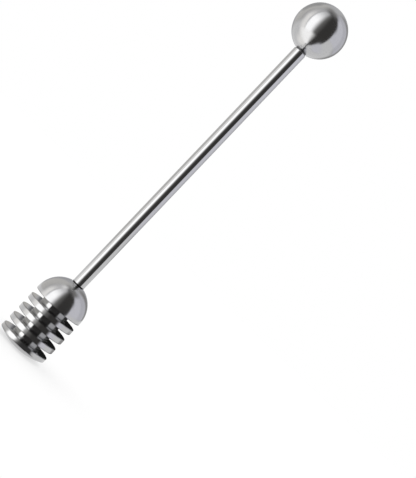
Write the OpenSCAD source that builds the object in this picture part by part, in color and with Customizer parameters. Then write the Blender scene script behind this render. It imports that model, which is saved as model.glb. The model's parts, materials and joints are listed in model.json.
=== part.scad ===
// Honey dipper of turned stainless steel: a grooved head, a round rod handle and a ball knob.
// It stands on the small flat of its tip, whose centre is the origin, with +Z up the handle.

/* [Head] */
// Diameter of the dome and of every disc
head_d = 20; // [16:0.5:30]
// Number of discs under the dome, with the tip disc
disc_count = 4; // [2:1:7]
// Thickness of each disc above the tip
disc_t = 2.2; // [1.2:0.1:4]
// Clear height of each groove that holds the honey
groove_w = 2.4; // [1.5:0.1:5]
// Diameter of the core at the bottom of the grooves
core_d = 11.5; // [8:0.5:13]
// Straight skirt below the dome's half ball
skirt_h = 0.7; // [0.2:0.1:3]
// Radius broken on the edges of the discs and of the skirt
edge_r = 0.3; // [0.1:0.05:0.5]
// Radius that the grooving tool leaves in the corners at the core
root_r = 0.25; // [0.1:0.05:0.5]

/* [Tip] */
// Height of the tip disc's straight rim
tip_rim_h = 1.8; // [1.2:0.1:4]
// Depth of the tip disc's domed underside, from the rim down to the flat
tip_bulge_h = 2; // [1:0.1:4]
// Diameter of the flat in the middle of the underside
tip_flat_d = 9; // [6:0.5:12]
// Radius between the rim and the underside
tip_r = 0.5; // [0.2:0.1:0.8]

/* [Handle] */
// Diameter of the rod
rod_d = 5; // [4.6:0.1:8]
// Length of the rod between its two seats
handle_l = 114; // [60:1:200]
// Chamfer on the rod's end at the head
head_end_chamfer = 0.3; // [0.1:0.05:0.5]
// Chamfer on the rod's end at the ball
ball_end_chamfer = 0.5; // [0.1:0.05:0.55]
// Flat left on the dome round the rod's end
dome_seat_rim = 0.5; // [0.2:0.1:1.5]
// Flat left on the ball round the chamfered end of the rod
ball_seat_rim = 0.2; // [0.1:0.05:0.6]

/* [Ball knob] */
// Diameter of the ball
ball_d = 20; // [16:0.5:30]

/* [Screwed joints] */
// Diameter of the threaded spigot at each end of the rod
spigot_d = 3; // [2.4:0.1:3.4]
// Length of the spigot that screws into the head
head_spigot_l = 7; // [4:0.5:8]
// Length of the spigot that screws into the ball
ball_spigot_l = 7; // [4:0.5:9]
// Radial clearance between a spigot and its hole
thread_gap = 0.05; // [0.02:0.01:0.1]
// Free depth left in each hole beyond its spigot
hole_spare = 1; // [0.5:0.1:1.5]
// Width of the relief groove where a spigot meets its shoulder
relief_w = 0.8; // [0.4:0.1:1.5]
// Depth of the relief groove
relief_deep = 0.25; // [0.1:0.05:0.4]
// Chamfer on the spigot's free end and at the mouth of its hole
lead_in = 0.2; // [0.1:0.05:0.25]

/* [Hidden] */
$fn = 96;

head_r = head_d / 2;
core_r = core_d / 2;
tip_flat_r = tip_flat_d / 2;
rod_r = rod_d / 2;
ball_r = ball_d / 2;
spigot_r = spigot_d / 2;
hole_r = spigot_r + thread_gap;
skirt_r = min(edge_r, 0.75 * skirt_h); // the skirt is the lower wall of the two
drill_slope = tan(31); // a drill point of 118 degrees

// The underside is part of a ball that passes through the flat's edge and the rim's lower edge
bulge_z = (pow(head_r, 2) - pow(tip_flat_r, 2) + pow(tip_bulge_h, 2)) / (2 * tip_bulge_h);
bulge_r = norm([tip_flat_r, bulge_z]);
tip_round_z = bulge_z - sqrt(pow(bulge_r - tip_r, 2) - pow(head_r - tip_r, 2));
tip_touch_r = (head_r - tip_r) * bulge_r / (bulge_r - tip_r); // where the edge's radius meets the ball

// Heights above the tip
tip_t = tip_bulge_h + tip_rim_h;
disc_pitch = disc_t + groove_w;
dome_base_z = tip_t + groove_w + (disc_count - 1) * disc_pitch;
dome_z = dome_base_z + skirt_h;
head_seat_r = rod_r + dome_seat_rim;
head_seat_z = dome_z + sqrt(pow(head_r, 2) - pow(head_seat_r, 2));
ball_seat_r = rod_r - ball_end_chamfer + ball_seat_rim;
ball_seat_z = head_seat_z + handle_l;
ball_z = ball_seat_z + sqrt(pow(ball_r, 2) - pow(ball_seat_r, 2));

steel = [0.70, 0.70, 0.72];
bright_steel = [0.82, 0.82, 0.84];

// Half section of a disc with both edges broken
module disc_section() {
    translate([0, edge_r]) square([head_r, disc_t - 2 * edge_r]);
    edge_section(edge_r);
    translate([0, disc_t]) mirror([0, 1]) edge_section(edge_r);
}

// The slice of a disc, or of the dome, that its rounded lower edge takes up
module edge_section(round_r) {
    square([head_r - round_r, round_r]);
    intersection() {
        translate([head_r - round_r, round_r]) circle(r = round_r);
        translate([head_r - round_r, 0]) square([round_r, round_r]);
    }
}

// Half section of the tip disc: a straight rim over a domed underside with a flat in its middle
module tip_section() {
    translate([0, tip_t]) mirror([0, 1]) edge_section(edge_r);
    translate([0, tip_round_z]) square([head_r, tip_t - edge_r - tip_round_z]);
    intersection() {
        translate([0, bulge_z]) circle(r = bulge_r);
        square([tip_touch_r, tip_round_z]);
    }
    intersection() {
        translate([head_r - tip_r, tip_round_z]) circle(r = tip_r);
        translate([tip_touch_r, 0]) square([head_r - tip_touch_r, tip_round_z]);
    }
}

// Half section of the core between two faces, with the tool's radius in both corners
module groove_section(height) {
    square([core_r, height]);
    root_section();
    translate([0, height]) mirror([0, 1]) root_section();
}

module root_section() {
    difference() {
        translate([core_r, 0]) square([root_r, root_r]);
        translate([core_r + root_r, root_r]) circle(r = root_r);
    }
}

// Half section of a tapped hole: straight wall, drill point and countersunk mouth at height 0
module hole_section(depth) {
    translate([0, -depth]) square([hole_r, depth]);
    polygon([[0, -depth], [hole_r, -depth], [0, -depth - hole_r * drill_slope]]);
    polygon([[0, 0], [hole_r + lead_in, 0], [hole_r, -lead_in], [0, -lead_in]]);
}

// Half section of a rod end that points up, from the shoulder at height 0
module spigot_section(length) {
    square([spigot_r - relief_deep, relief_w]);
    translate([0, relief_w]) square([spigot_r, length - relief_w - lead_in]);
    translate([0, length - lead_in])
        polygon([[0, 0], [spigot_r, 0], [spigot_r - lead_in, lead_in], [0, lead_in]]);
}

module dome_section() {
    translate([0, dome_base_z]) edge_section(skirt_r);
    translate([0, dome_base_z + skirt_r]) square([head_r, skirt_h - skirt_r]);
    intersection() {
        translate([0, dome_z]) circle(r = head_r);
        translate([0, dome_z]) square([head_r, head_seat_z - dome_z]);
    }
}

module dipper_head() {
    color(steel)
    rotate_extrude()
    difference() {
        union() {
            tip_section();
            for (i = [0 : disc_count - 1])
                translate([0, tip_t + i * disc_pitch]) groove_section(groove_w);
            for (i = [1 : disc_count - 1])
                translate([0, tip_t + i * disc_pitch - disc_t]) disc_section();
            dome_section();
        }
        translate([0, head_seat_z]) hole_section(head_spigot_l + hole_spare);
    }
}

module handle_rod() {
    color(bright_steel)
    rotate_extrude()
    union() {
        translate([0, head_seat_z]) polygon([
            [0, 0],
            [rod_r - head_end_chamfer, 0],
            [rod_r, head_end_chamfer],
            [rod_r, handle_l - ball_end_chamfer],
            [rod_r - ball_end_chamfer, handle_l],
            [0, handle_l]]);
        translate([0, ball_seat_z]) spigot_section(ball_spigot_l);
        translate([0, head_seat_z]) mirror([0, 1]) spigot_section(head_spigot_l);
    }
}

module ball_knob() {
    color(steel)
    rotate_extrude()
    difference() {
        intersection() {
            translate([0, ball_z]) circle(r = ball_r);
            translate([0, ball_seat_z]) square([ball_r, ball_z + ball_r - ball_seat_z]);
        }
        translate([0, ball_seat_z]) mirror([0, 1]) hole_section(ball_spigot_l + hole_spare);
    }
}

dipper_head();
handle_rod();
ball_knob();
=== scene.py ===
import json
import math

import bpy
import numpy as np
from mathutils import Matrix, Vector

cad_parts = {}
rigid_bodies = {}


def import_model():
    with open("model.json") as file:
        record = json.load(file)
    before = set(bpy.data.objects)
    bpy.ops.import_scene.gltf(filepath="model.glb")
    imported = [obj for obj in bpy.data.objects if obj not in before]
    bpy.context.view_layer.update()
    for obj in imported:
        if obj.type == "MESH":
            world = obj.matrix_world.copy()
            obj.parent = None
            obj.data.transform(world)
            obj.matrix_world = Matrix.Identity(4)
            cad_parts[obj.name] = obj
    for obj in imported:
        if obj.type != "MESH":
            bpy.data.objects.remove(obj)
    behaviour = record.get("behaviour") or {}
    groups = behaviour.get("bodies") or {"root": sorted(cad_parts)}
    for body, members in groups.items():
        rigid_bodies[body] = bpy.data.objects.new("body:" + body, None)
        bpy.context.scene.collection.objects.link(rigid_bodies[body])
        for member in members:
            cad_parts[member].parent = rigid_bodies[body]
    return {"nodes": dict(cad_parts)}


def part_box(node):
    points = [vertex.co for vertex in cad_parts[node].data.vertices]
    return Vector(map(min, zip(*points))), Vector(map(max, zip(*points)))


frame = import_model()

# the startup scene's own objects go
for leftOver in [o for o in bpy.data.objects if o.name in ("Cube", "Light", "Camera")]:
    bpy.data.objects.remove(leftOver)
bpy.context.view_layer.update()

scene = bpy.context.scene
scene.view_settings.view_transform = "Standard"

cameraSettings = {
    "eye": (0.0268, -0.4391, 0.0696),   # close-up, level with the middle of the rod
    "aim": (0.0220, 0.0, 0.0736),       # what stands in the middle of the picture
    "lean": math.radians(43.56),        # the dipper leans to the right in the picture
    "lens": 93.9,                       # mm, on the long side of a 36 mm frame
    "clip": (0.01, 20.0),
}


def makeCamera(settings):
    # the camera's up turns away from the dipper's axis by the lean
    eye, aim = Vector(settings["eye"]), Vector(settings["aim"])
    forward = (aim - eye).normalized()
    upright = (Vector((0, 0, 1)) - forward * forward.z).normalized()
    side = forward.cross(upright)
    up = upright * math.cos(settings["lean"]) - side * math.sin(settings["lean"])
    right = forward.cross(up)
    data = bpy.data.cameras.new("camera")
    data.lens = settings["lens"]
    data.clip_start, data.clip_end = settings["clip"]
    camera = bpy.data.objects.new("camera", data)
    turn = Matrix((right, up, -forward)).transposed()
    camera.matrix_world = Matrix.Translation(eye) @ turn.to_4x4()
    scene.collection.objects.link(camera)
    scene.camera = camera


makeCamera(cameraSettings)
print("Camera placed")


def newTree(material):
    material.use_nodes = True
    material.node_tree.nodes.clear()
    return material.node_tree


def mathNode(tree, operation, first, second=None, third=None):
    node = tree.nodes.new("ShaderNodeMath")
    node.operation = operation
    for socket, value in zip(node.inputs, (first, second, third)):
        if isinstance(value, (int, float)):
            socket.default_value = value
        elif value is not None:
            tree.links.new(value, socket)
    return node.outputs[0]


def softStep(tree, value, start, end):
    # 0 before start, 1 past end, with a smooth ramp between; start may be the larger of the two
    node = tree.nodes.new("ShaderNodeMapRange")
    node.interpolation_type = "SMOOTHSTEP"
    tree.links.new(value, node.inputs["Value"])
    node.inputs["From Min"].default_value = min(start, end)
    node.inputs["From Max"].default_value = max(start, end)
    node.inputs["To Min"].default_value = 0.0 if start < end else 1.0
    node.inputs["To Max"].default_value = 1.0 if start < end else 0.0
    return node.outputs["Result"]


def seenByRays(tree):
    # the white paper looks white to the camera, in steel and through glass
    path = tree.nodes.new("ShaderNodeLightPath")
    seen = mathNode(tree, "MAXIMUM", path.outputs["Is Camera Ray"], path.outputs["Is Glossy Ray"])
    return mathNode(tree, "MAXIMUM", seen, path.outputs["Is Transmission Ray"])


# white is how bright the paper looks, light is how much the dipper and the floor get from all round
studio = {"white": 1.0, "light": 1.0}


def makeWorld(settings):
    world = bpy.data.worlds.new("studio")
    scene.world = world
    tree = newTree(world)
    seen = seenByRays(tree)
    backdrop = mathNode(tree, "MULTIPLY", seen, settings["white"])
    rest = mathNode(tree, "MULTIPLY", mathNode(tree, "SUBTRACT", 1.0, seen), settings["light"])
    background = tree.nodes.new("ShaderNodeBackground")
    background.inputs["Color"].default_value = (1, 1, 1, 1)
    tree.links.new(mathNode(tree, "ADD", backdrop, rest), background.inputs["Strength"])
    output = tree.nodes.new("ShaderNodeOutputWorld")
    tree.links.new(background.outputs[0], output.inputs["Surface"])


makeWorld(studio)

# what the steel reflects: a white room with these cards in it, the later ones over the earlier ones.
# Turns are degrees round the axis, 0 towards the camera and growing to the right. Rises are 0 at the
# horizon and 90 overhead, and below the horizon a card lies on the floor, at the rise that the ball sees.
# The soft values are half the width of each edge's ramp. An end at 90, or from 180 on, has no edge, and
# such a card runs on under the later ones.
roomCards = {
    "top": {"turn": (-180, 180), "softTurn": (0, 0), "rise": (40, 90), "softRise": (20, 0),
            "colour": (0.76, 0.76, 0.77)},
    "back": {"turn": (138, 222), "softTurn": (16, 16), "rise": (0, 48), "softRise": (4, 24),
             "colour": (0.52, 0.52, 0.54)},
    "farFloor": {"turn": (112, 250), "softTurn": (14, 14), "rise": (-9, 2), "softRise": (11, 2),
                 "colour": (0.55, 0.55, 0.56)},
    "rightBack": {"turn": (88, 150), "softTurn": (0, 14), "rise": (-3, 90), "softRise": (6, 0),
                  "colour": (0.82, 0.82, 0.88)},
    "right": {"turn": (50, 107), "softTurn": (2, 9), "rise": (-2, 90), "softRise": (6, 0),
              "colour": (0.98, 0.98, 1.05)},
    "backFlag": {"turn": (146, 167), "softTurn": (9, 6), "rise": (-16, 60), "softRise": (10, 20),
                 "colour": (0.36, 0.355, 0.35)},
    "left": {"turn": (-145, -96), "softTurn": (10, 14), "rise": (-8, 90), "softRise": (12, 0),
             "colour": (0.82, 0.81, 0.78)},
    "rimShade": {"turn": (125, 172), "softTurn": (10, 6), "rise": (-79, -48), "softRise": (3, 5),
                 "colour": (0.42, 0.415, 0.41)},
    "sideGlow": {"turn": (-88, -64), "softTurn": (14, 4), "rise": (-90, 40), "softRise": (0, 25),
                 "colour": (1.46, 1.44, 1.40)},
    "softbox": {"turn": (-60, 0), "softTurn": (3, 2), "rise": (-90, 48), "softRise": (0, 28),
                "colour": (2.05, 2.05, 2.05)},
    "headDim": {"turn": (-60, -17), "softTurn": (10, 5), "rise": (-90, -43), "softRise": (0, 3),
                "colour": (1.1, 1.09, 1.07)},
    "headGlow": {"turn": (-64, -26), "softTurn": (6, 4), "rise": (-90, -43), "softRise": (0, 3),
                 "colour": (2.1, 2.1, 2.08)},
    "dimFlag": {"turn": (-22, 20), "softTurn": (14, 2), "rise": (-90, 84), "softRise": (0, 10),
                "colour": (0.20, 0.196, 0.19)},
    "darkFlag": {"turn": (0, 55), "softTurn": (12, 4), "rise": (-79, 84), "softRise": (6, 10),
                 "colour": (0.062, 0.06, 0.058)},
    "darkTop": {"turn": (8, 61), "softTurn": (14, 9), "rise": (34, 84), "softRise": (16, 10),
                "colour": (0.066, 0.063, 0.06)},
    "rimEdge": {"turn": (51, 80), "softTurn": (9, 4), "rise": (-76, -43), "softRise": (4, 3),
                "colour": (0.98, 0.98, 1.05)},
    "tipSide": {"turn": (-134, -64), "softTurn": (10, 9), "rise": (-90, -75), "softRise": (0, 3),
                "colour": (0.86, 0.85, 0.83)},
    "tipGlow": {"turn": (-54, -23), "softTurn": (6, 8), "rise": (-90, -75), "softRise": (0, 3),
                "colour": (2.1, 2.1, 2.08)},
    "tipLow": {"turn": (-134, -44), "softTurn": (10, 10), "rise": (-90, -84), "softRise": (0, 1.5),
               "colour": (0.55, 0.545, 0.53)},
    "capShade": {"turn": (-146, -62), "softTurn": (28, 20), "rise": (67, 90), "softRise": (10, 0),
                 "colour": (0.42, 0.415, 0.41)},
    "overheadFlag": {"turn": (-80, 80), "softTurn": (30, 30), "rise": (72, 90), "softRise": (8, 0),
                     "colour": (0.12, 0.12, 0.12)},
    "zenith": {"turn": (-180, 180), "softTurn": (0, 0), "rise": (82, 90), "softRise": (10, 0),
               "colour": (0.35, 0.345, 0.34)},
    "footShade": {"turn": (-5, 45), "softTurn": (10, 6), "rise": (-86, -76), "softRise": (0.4, 4),
                  "colour": (0.06, 0.06, 0.06)},
}
# the room in m: half a ball over a flat part that is lifted off the floor and ends at the dipper's foot.
# White is its colour where no card covers it.
room = {"radius": 1.2, "foot": 0.0098, "lift": 0.0008, "white": 1.0}
gridCounts = {"roomTurns": 181, "wallRows": 45, "floorRows": 80, "cardTurns": 61, "ringRows": 60}
leastSoft = 0.01     # degrees, for edges that are hard
knobLow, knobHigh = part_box("ball_knob")
knobHeight = (knobLow[2] + knobHigh[2]) / 2


def addRevolved(name, turn, out, up, rise):
    # a profile of out and up carried round Z: x is out times the turn's sine, y is minus out times its
    # cosine and z is up. The UV map holds turn and rise in degrees.
    angle = np.radians(turn)[None, :]
    x, y = out[:, None] * np.sin(angle), -out[:, None] * np.cos(angle)
    points = np.stack(np.broadcast_arrays(x, y, up[:, None]), axis=-1)
    rows, columns = len(out), len(turn)
    corner = (np.arange(rows - 1)[:, None] * columns + np.arange(columns - 1)[None, :]).ravel()
    # an outward profile faces up, a rising one faces in
    faces = np.stack([corner, corner + columns, corner + columns + 1, corner + 1], axis=1)
    mesh = bpy.data.meshes.new(name)
    mesh.from_pydata(points.reshape(-1, 3).tolist(), [], faces.tolist())
    place = np.stack(np.broadcast_arrays(turn[None, :], rise[:, None]), axis=-1).reshape(-1, 2)
    uvMap = mesh.uv_layers.new(name="degrees")
    uvMap.data.foreach_set("uv", place[faces.ravel()].ravel().astype(np.float32))
    card = bpy.data.objects.new(name, mesh)
    scene.collection.objects.link(card)
    card.visible_camera = False
    card.visible_diffuse = False
    card.visible_transmission = False
    card.visible_shadow = False
    return mesh


def coneProfile(foot, radius, lift, fall=0.0):
    # from the foot to the radius, at the lift less the fall times out, with the rise seen from the ball
    out = np.geomspace(foot, radius, gridCounts["floorRows"])
    up = lift - fall * out
    return out, up, -np.degrees(np.arctan2(knobHeight - up, out))


def degreesOf(tree):
    uv = tree.nodes.new("ShaderNodeUVMap")
    uv.uv_map = "degrees"
    split = tree.nodes.new("ShaderNodeSeparateXYZ")
    tree.links.new(uv.outputs["UV"], split.inputs[0])
    return split.outputs[0], split.outputs[1]


def cardMask(tree, settings):
    # 1 inside the card's turns and rises, 0 outside them, softly between
    turn, rise = degreesOf(tree)
    middle = sum(settings["turn"]) / 2
    turn = mathNode(tree, "WRAP", turn, middle + 180, middle - 180)
    rises, softRises = settings.get("rise", (-90, 90)), settings.get("softRise", (0, 0))
    mask = None
    for value, ends, soft in ((turn, settings["turn"], settings["softTurn"]), (rise, rises, softRises)):
        for end, blur, side in ((ends[0], soft[0], 1), (ends[1], soft[1], -1)):
            if abs(end) < 180 and abs(end) != 90:
                blur = max(blur, leastSoft)
                edge = softStep(tree, value, end - side * blur, end + side * blur)
                mask = edge if mask is None else mathNode(tree, "MULTIPLY", mask, edge)
    return mask


def makeRoom(settings, cards):
    # the floor part, then a quarter circle: out is the radius times the rise's cosine, up times its sine
    out, up, rise = coneProfile(settings["foot"], settings["radius"], settings["lift"])
    wallRise = np.linspace(0, 90, gridCounts["wallRows"] + 1)[1:]
    out = np.concatenate([out, settings["radius"] * np.cos(np.radians(wallRise))])
    up = np.concatenate([up, settings["radius"] * np.sin(np.radians(wallRise))])
    rise = np.concatenate([rise, wallRise])
    mesh = addRevolved("room_reflection", np.linspace(-180, 180, gridCounts["roomTurns"]), out, up, rise)
    material = bpy.data.materials.new("room_reflection")
    tree = newTree(material)
    colour = None
    for card in cards.values():
        mix = tree.nodes.new("ShaderNodeMix")
        mix.data_type = "RGBA"
        tree.links.new(cardMask(tree, card), mix.inputs["Factor"])
        if colour is None:
            mix.inputs["A"].default_value = (settings["white"],) * 3 + (1,)
        else:
            tree.links.new(colour, mix.inputs["A"])
        mix.inputs["B"].default_value = (*card["colour"], 1)
        colour = mix.outputs["Result"]
    glow = tree.nodes.new("ShaderNodeEmission")
    tree.links.new(colour, glow.inputs["Color"])
    output = tree.nodes.new("ShaderNodeOutputMaterial")
    tree.links.new(glow.outputs[0], output.inputs["Surface"])
    mesh.materials.append(material)


makeRoom(room, roomCards)

# cones round the rod that show only from above, for the ball: out from the foot to the radius, at the
# lift less the fall times the way out. Sizes in m.
knobCards = {
    "knobBackGlow": {"foot": 0.010, "radius": 0.22, "lift": 0.030, "fall": 0.13,
                     "turn": (122, 182), "softTurn": (10, 10), "rise": (-83, -34), "softRise": (2, 8),
                     "colour": (1.0, 1.0, 1.0)},
    "knobSideGlow": {"foot": 0.010, "radius": 0.22, "lift": 0.0305, "fall": 0.13,
                     "turn": (-150, -60), "softTurn": (20, 10), "rise": (-83, -50), "softRise": (2, 14),
                     "colour": (1.42, 1.40, 1.36)},
    "knobRightGlow": {"foot": 0.010, "radius": 0.28, "lift": 0.0295, "fall": 0.1,
                      "turn": (44, 120), "softTurn": (11, 10), "rise": (-72, -43), "softRise": (6, 13),
                      "colour": (0.97, 0.97, 1.03)},
    "knobGlow": {"foot": 0.010, "radius": 0.28, "lift": 0.031, "fall": 0.1,
                 "turn": (-80, -7), "softTurn": (24, 20), "rise": (-83, -34), "softRise": (2, 8),
                 "colour": (1.8, 1.79, 1.77)},
    "knobEdgeShade": {"foot": 0.045, "radius": 0.25, "lift": 0.088, "fall": -1.5,
                      "turn": (-160, -116), "softTurn": (12, 12), "rise": (12, 46), "softRise": (6, 5),
                      "colour": (0.50, 0.50, 0.50)},
}


def glowMaterial(name, settings, oneSided):
    # the card's colour where its mask is full, clear where it is empty
    material = bpy.data.materials.new(name)
    tree = newTree(material)
    mask = cardMask(tree, settings)
    if oneSided:
        geometry = tree.nodes.new("ShaderNodeNewGeometry")
        front = mathNode(tree, "SUBTRACT", 1.0, geometry.outputs["Backfacing"])
        mask = mathNode(tree, "MULTIPLY", mask, front)
    clear = tree.nodes.new("ShaderNodeBsdfTransparent")
    glow = tree.nodes.new("ShaderNodeEmission")
    glow.inputs["Color"].default_value = (*settings["colour"], 1)
    mix = tree.nodes.new("ShaderNodeMixShader")
    tree.links.new(mask, mix.inputs[0])
    tree.links.new(clear.outputs[0], mix.inputs[1])
    tree.links.new(glow.outputs[0], mix.inputs[2])
    output = tree.nodes.new("ShaderNodeOutputMaterial")
    tree.links.new(mix.outputs[0], output.inputs["Surface"])
    return material


def makeCard(name, settings, profile, oneSided):
    # the profile of out, up and rise, carried round from one soft end of the turns to the other
    (first, last), (softFirst, softLast) = settings["turn"], settings["softTurn"]
    turn = np.linspace(first - softFirst, last + softLast, gridCounts["cardTurns"])
    mesh = addRevolved(name, turn, *profile)
    mesh.materials.append(glowMaterial(name, settings, oneSided))


for cardName, card in knobCards.items():
    cone = coneProfile(card["foot"], card["radius"], card["lift"], card["fall"])
    makeCard(cardName, card, cone, True)

# flat rings round the rod that show only from below, for the dome. Sizes in m.
domeCards = {
    "domeShade": {"radius": 0.055, "hole": 0.0035, "lift": 0.068,
                  "turn": (30, 100), "softTurn": (15, 45), "rise": (58, 90), "softRise": (9, 0),
                  "colour": (0.30, 0.297, 0.29)},
    "domeGlow": {"radius": 0.055, "hole": 0.0035, "lift": 0.0682,
                 "turn": (-78, -45), "softTurn": (20, 26), "rise": (48, 68), "softRise": (11, 10),
                 "colour": (1.42, 1.41, 1.39)},
}
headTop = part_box("dipper_head")[1][2]


def ringProfile(radius, hole, lift):
    # from the radius in to the hole, all at the lift, with the rise seen from the top of the dome
    out = np.geomspace(radius, hole, gridCounts["ringRows"])
    up = np.full(len(out), lift)
    return out, up, np.degrees(np.arctan2(up - headTop, out))


for cardName, card in domeCards.items():
    makeCard(cardName, card, ringProfile(card["radius"], card["hole"], card["lift"]), True)

# dark bands round the grooves, just outside the discs and seen only in the steel: painted shade for the
# core and the tops of the discs, standing in for the shade inside the grooves. Turns are where a band
# stands, and one with a smaller radius hides the others behind it. Sizes in m, heights from the tip up;
# the bands stand lower than the grooves by the drop.
grooves = {"first": 0.0038, "height": 0.0024, "pitch": 0.0046, "count": 4, "drop": 0.0001}
grooveShadeBands = {
    "topShade": {"radius": 0.0108, "turn": (-172, -136), "softTurn": (6, 8),
                 "colour": (0.11, 0.11, 0.115)},
    "topDark": {"radius": 0.0106, "turn": (104, 160), "softTurn": (8, 6),
                "colour": (0.010, 0.010, 0.010)},
    "coreLeft": {"radius": 0.0107, "turn": (-130, -49), "softTurn": (8, 4),
                 "colour": (0.52, 0.51, 0.49)},
    "coreRight": {"radius": 0.0106, "turn": (37, 78), "softTurn": (4, 8),
                  "colour": (0.55, 0.55, 0.57)},
    "coreFront": {"radius": 0.0108, "turn": (-21, 168), "softTurn": (3, 6),
                  "colour": (0.04, 0.039, 0.038)},
}


def bandProfile(radius, grooveNumber):
    # straight up at the radius over the groove, with no rise of its own
    low = grooves["first"] + grooveNumber * grooves["pitch"] - grooves["drop"]
    return np.full(2, radius), np.array([low, low + grooves["height"]]), np.zeros(2)


for grooveNumber in range(grooves["count"]):
    for bandName, band in grooveShadeBands.items():
        bandCard = "%s_%d" % (bandName, grooveNumber + 1)
        makeCard(bandCard, band, bandProfile(band["radius"], grooveNumber), False)
print("Studio lit")

# finish of each piece: colour and roughness with how far the turning marks and the handling change them.
# Marks are rings round the axis, so fine that the closest ones blur; their width and depth are in m.
headFinish = {"name": "satin_steel_head", "colour": (0.47, 0.47, 0.475), "roughness": 0.15,
              "anisotropic": 0.35, "markWidth": 0.00014, "markDepth": 0.0000022,
              "bandWidth": 0.0007, "bandDepth": 0.0000035, "markRough": 0.05, "markColour": 0.06,
              "smudge": 0.04,
              # the discs and the core, below this height, are polished brighter
              "grooveTop": 0.0200, "grooveRough": 0.075}
ballFinish = {"name": "satin_steel_ball", "colour": (0.47, 0.47, 0.475), "roughness": 0.15,
              "anisotropic": 0.35, "markWidth": 0.00014, "markDepth": 0.0000022,
              "bandWidth": 0.0007, "bandDepth": 0.0000035, "markRough": 0.05, "markColour": 0.06,
              "smudge": 0.05}
rodFinish = {"name": "polished_steel_rod", "colour": (0.50, 0.50, 0.505), "roughness": 0.08,
             "anisotropic": 0.2, "markWidth": 0.00010, "markDepth": 0.0000006,
             "bandWidth": 0.0012, "bandDepth": 0.0000015, "markRough": 0.03, "markColour": 0.04,
             "smudge": 0.03,
             # dark dull rings over the chamfers at the two seats: the darkness is painted shadow of the
             # seam, the dullness is the rougher chamfer. The height where a ring starts, the height where
             # it is full, and the share of the colour that it leaves
             "shadedDullSeams": ({"start": headTop + 0.00056, "full": headTop + 0.00040, "tone": 0.08},
                       {"start": knobLow[2] - 0.00064, "full": knobLow[2] - 0.00052, "tone": 0.70})}
# what the three finishes share. The lengths are radians of turn, the least radius and the half width of
# the groove finish's blend are in m, and the highlight is turned by a quarter.
steelPattern = {"highlightTurn": 0.25, "markLength": 0.5, "markDetail": 2.0, "bandLength": 1.5,
                "bandDetail": 3.0, "cloudScale": 140.0, "cloudDetail": 3.0, "leastRadius": 0.0001,
                "grooveBlend": 0.0001, "seamRough": 0.25, "leastRough": 0.03}


def ringNoise(tree, place, width, length, detail):
    # noise drawn out round the axis: it changes over the width in r and z, but only over length radians
    # of turn
    turnX = mathNode(tree, "DIVIDE", mathNode(tree, "DIVIDE", place["x"], place["r"]), length)
    turnY = mathNode(tree, "DIVIDE", mathNode(tree, "DIVIDE", place["y"], place["r"]), length)
    join = tree.nodes.new("ShaderNodeCombineXYZ")
    for socket, value in zip(join.inputs, (turnX, turnY, mathNode(tree, "DIVIDE", place["z"], width))):
        tree.links.new(value, socket)
    noise = tree.nodes.new("ShaderNodeTexNoise")
    noise.noise_dimensions = "4D"
    noise.inputs["Scale"].default_value = 1.0
    noise.inputs["Detail"].default_value = detail
    tree.links.new(join.outputs[0], noise.inputs["Vector"])
    tree.links.new(mathNode(tree, "DIVIDE", place["r"], width), noise.inputs["W"])
    return noise.outputs["Fac"]


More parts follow.
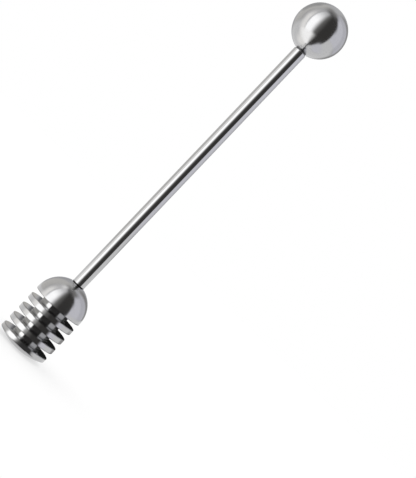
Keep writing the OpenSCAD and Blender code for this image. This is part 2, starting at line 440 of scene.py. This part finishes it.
def makeSteel(finish, pattern):
    material = bpy.data.materials.new(finish["name"])
    material.use_nodes = True
    tree = material.node_tree
    shader = tree.nodes["Principled BSDF"]
    shader.inputs["Metallic"].default_value = 1.0
    shader.inputs["Anisotropic"].default_value = finish["anisotropic"]
    shader.inputs["Anisotropic Rotation"].default_value = pattern["highlightTurn"]
    tangent = tree.nodes.new("ShaderNodeTangent")
    tangent.direction_type = "RADIAL"
    tangent.axis = "Z"
    tree.links.new(tangent.outputs[0], shader.inputs["Tangent"])

    coords = tree.nodes.new("ShaderNodeTexCoord")
    split = tree.nodes.new("ShaderNodeSeparateXYZ")
    tree.links.new(coords.outputs["Object"], split.inputs[0])
    place = dict(zip("xyz", split.outputs))
    across = mathNode(tree, "ADD", mathNode(tree, "MULTIPLY", place["x"], place["x"]),
                      mathNode(tree, "MULTIPLY", place["y"], place["y"]))
    place["r"] = mathNode(tree, "MAXIMUM", mathNode(tree, "SQRT", across), pattern["leastRadius"])
    marks = ringNoise(tree, place, finish["markWidth"], pattern["markLength"], pattern["markDetail"])
    bands = ringNoise(tree, place, finish["bandWidth"], pattern["bandLength"], pattern["bandDetail"])
    cloud = tree.nodes.new("ShaderNodeTexNoise")     # faint smudges from handling
    cloud.inputs["Scale"].default_value = pattern["cloudScale"]
    cloud.inputs["Detail"].default_value = pattern["cloudDetail"]
    tree.links.new(coords.outputs["Object"], cloud.inputs["Vector"])

    # height of the marks in metres, the fine ones on top of the wide ones
    height = mathNode(tree, "MULTIPLY_ADD", marks, finish["markDepth"],
                      mathNode(tree, "MULTIPLY", bands, finish["bandDepth"]))
    bump = tree.nodes.new("ShaderNodeBump")
    bump.inputs["Strength"].default_value = 1.0
    bump.inputs["Distance"].default_value = 1.0
    tree.links.new(height, bump.inputs["Height"])
    tree.links.new(bump.outputs[0], shader.inputs["Normal"])

    # roughness that goes up and down with the marks and the smudges
    lowest = finish["roughness"] - finish["markRough"] / 2
    rough = mathNode(tree, "MULTIPLY_ADD", marks, finish["markRough"], lowest)
    rough = mathNode(tree, "MULTIPLY_ADD", cloud.outputs["Fac"], finish["smudge"],
                     mathNode(tree, "SUBTRACT", rough, finish["smudge"] / 2))
    if "grooveTop" in finish:
        top, blend = finish["grooveTop"], pattern["grooveBlend"]
        groove = softStep(tree, place["z"], top + blend, top - blend)
        finer = finish["roughness"] - finish["grooveRough"]
        rough = mathNode(tree, "SUBTRACT", rough, mathNode(tree, "MULTIPLY", groove, finer))
    tone = mathNode(tree, "MULTIPLY_ADD", bands, finish["markColour"], 1 - finish["markColour"] / 2)
    # each seat ring darkens the colour as painted shadow of the seam, and adds roughness for the duller
    # chamfer
    for seam in finish.get("shadedDullSeams", ()):
        shadedDullRing = softStep(tree, place["z"], seam["start"], seam["full"])
        left = mathNode(tree, "MULTIPLY_ADD", shadedDullRing, seam["tone"] - 1, 1.0)
        tone = mathNode(tree, "MULTIPLY", tone, left)
        rough = mathNode(tree, "MULTIPLY_ADD", shadedDullRing, pattern["seamRough"], rough)
    tree.links.new(mathNode(tree, "MAXIMUM", rough, pattern["leastRough"]), shader.inputs["Roughness"])
    scale = tree.nodes.new("ShaderNodeVectorMath")
    scale.operation = "SCALE"
    scale.inputs[0].default_value = finish["colour"]
    tree.links.new(tone, scale.inputs["Scale"])
    tree.links.new(scale.outputs[0], shader.inputs["Base Color"])
    return material


finishes = {"dipper_head": headFinish, "ball_knob": ballFinish, "handle_rod": rodFinish}
for nodeName, finish in finishes.items():
    steel = makeSteel(finish, steelPattern)
    for slot in frame["nodes"][nodeName].material_slots:
        slot.material = steel
print("Steel finished")

# the radius in m; glow is what the paper adds to the light it gets, to look white
floorSettings = {"radius": 3.0, "corners": 96, "albedo": 0.45, "glow": 0.57}


def makeFloor(settings):
    corners, radius = settings["corners"], settings["radius"]
    bpy.ops.mesh.primitive_circle_add(vertices=corners, radius=radius, fill_type="NGON")
    floor = bpy.context.object
    floor.name = "floor"
    material = bpy.data.materials.new("floor_paper")
    tree = newTree(material)
    diffuse = tree.nodes.new("ShaderNodeBsdfDiffuse")
    diffuse.inputs["Color"].default_value = (settings["albedo"],) * 3 + (1,)
    glow = tree.nodes.new("ShaderNodeEmission")
    strength = mathNode(tree, "MULTIPLY", seenByRays(tree), settings["glow"])
    tree.links.new(strength, glow.inputs["Strength"])
    both = tree.nodes.new("ShaderNodeAddShader")
    tree.links.new(diffuse.outputs[0], both.inputs[0])
    tree.links.new(glow.outputs[0], both.inputs[1])
    output = tree.nodes.new("ShaderNodeOutputMaterial")
    tree.links.new(both.outputs[0], output.inputs["Surface"])
    floor.data.materials.append(material)


makeFloor(floorSettings)
print("Floor laid")
